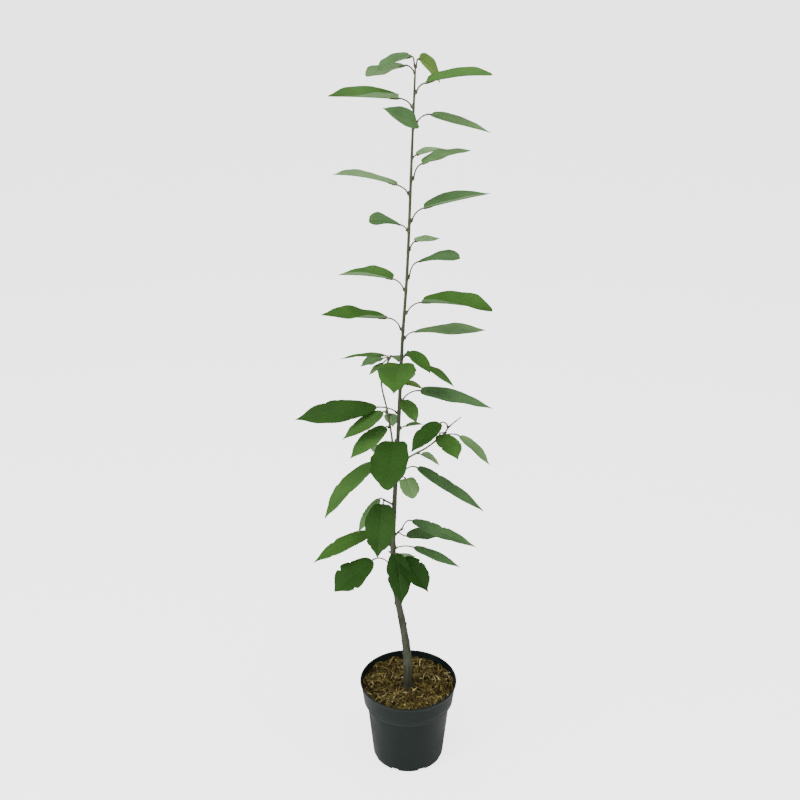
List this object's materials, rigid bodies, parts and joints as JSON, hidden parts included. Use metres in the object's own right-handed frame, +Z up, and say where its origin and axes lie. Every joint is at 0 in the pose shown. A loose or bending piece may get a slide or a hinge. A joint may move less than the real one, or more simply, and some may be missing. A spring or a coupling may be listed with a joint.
{
  "type": "potted fruit tree sapling",
  "caption": "Slender young fruit tree with long pointed leaves, standing on its root ball inside a round tapered nursery pot with a mulched top.",
  "frame": {"origin": "centre of the pot's flat underside", "axes": "+Z up along the pot's axis, -Y towards the front, +X to the right seen from the front"},
  "size_m": [0.3096, 0.2272, 1.2162],
  "materials": {
    "leaf": "satin green leaf, paler and duller underneath",
    "young_leaf": "satin yellow-green young leaf",
    "bark": "grey-olive bark at the foot, smooth green above",
    "green_bark": "smooth green young bark",
    "mulch": "rough shredded bark on dark potting soil",
    "pot_plastic": "thin moulded plastic with a soft sheen"
  },
  "bodies": {
    "root": {"back_leaf_01": "leaf", "back_leaf_02": "leaf", "back_leaf_03": "leaf", "back_leaf_04": "leaf", "foot_spur": "leaf", "front_spur": "leaf", "leader_leaf_01": "leaf", "leader_leaf_02": "leaf", "leader_leaf_03": "leaf", "leader_leaf_04": "leaf", "leader_leaf_05": "leaf", "leader_leaf_06": "leaf", "leader_leaf_07": "leaf", "leader_leaf_08": "leaf", "leader_leaf_09": "leaf", "leader_leaf_10": "leaf", "leader_leaf_11": "leaf", "leader_leaf_12": "leaf", "leader_leaf_13": "leaf", "leader_leaf_14": "leaf", "leader_leaf_15": "leaf", "leader_leaf_16": "leaf", "leader_leaf_17": "leaf", "left_rosette": "leaf", "left_shoot": "green_bark", "left_shoot_leaf_01": "leaf", "left_shoot_leaf_02": "leaf", "left_shoot_leaf_03": "leaf", "left_spur": "leaf", "lower_leaf_01": "leaf", "lower_leaf_02": "leaf", "lower_leaf_03": "leaf", "lower_leaf_04": "leaf", "lower_leaf_05": "leaf", "lower_leaf_06": "leaf", "lower_leaf_07": "leaf", "lower_leaf_08": "leaf", "lower_leaf_09": "leaf", "lower_leaf_10": "leaf", "middle_spur": "leaf", "pot": "pot_plastic", "right_shoot": "green_bark", "right_shoot_leaf_01": "leaf", "right_shoot_leaf_02": "leaf", "right_shoot_leaf_03": "leaf", "right_shoot_leaf_04": "leaf", "right_spur": "leaf", "root_ball": "mulch", "top_tuft": "young_leaf", "trunk": "bark"}
  },
  "joints": []
}
